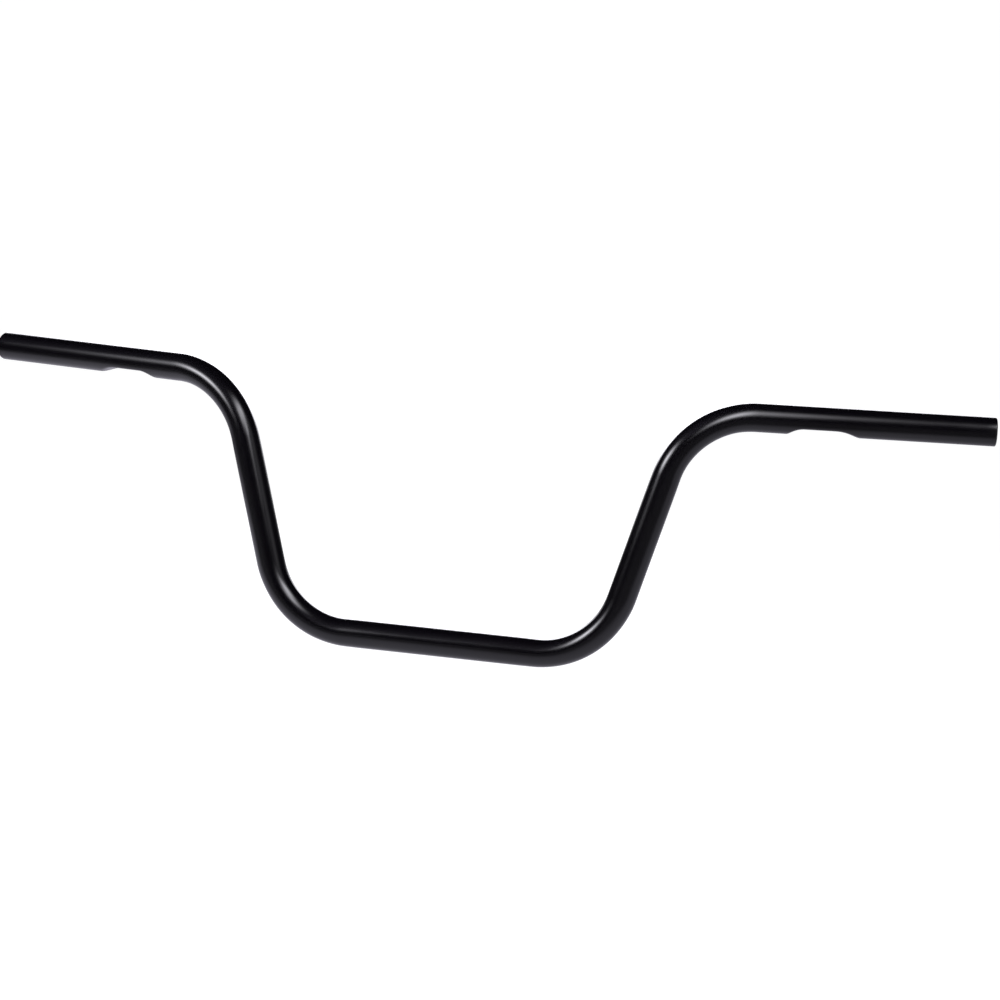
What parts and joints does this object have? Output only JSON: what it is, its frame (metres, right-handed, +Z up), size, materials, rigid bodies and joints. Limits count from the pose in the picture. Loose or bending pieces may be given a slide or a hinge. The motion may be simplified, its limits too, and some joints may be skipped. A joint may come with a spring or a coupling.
{
  "type": "ape hanger handlebar",
  "caption": "One-piece bent steel motorcycle handlebar in satin black: straight centre, tall risers, swept-back grips with a wiring dimple under each, open tube ends.",
  "frame": {"origin": "middle of the straight centre section, on the tube's axis, where the clamps hold the bar", "axes": "+X along the centre section towards the rider's left hand, +Y back towards the rider, +Z up along the risers' own plane"},
  "size_m": [0.9498, 0.0967, 0.2522],
  "materials": {
    "black_powder_coat": "satin"
  },
  "bodies": {
    "root": {"handlebar": "black_powder_coat"}
  },
  "joints": []
}
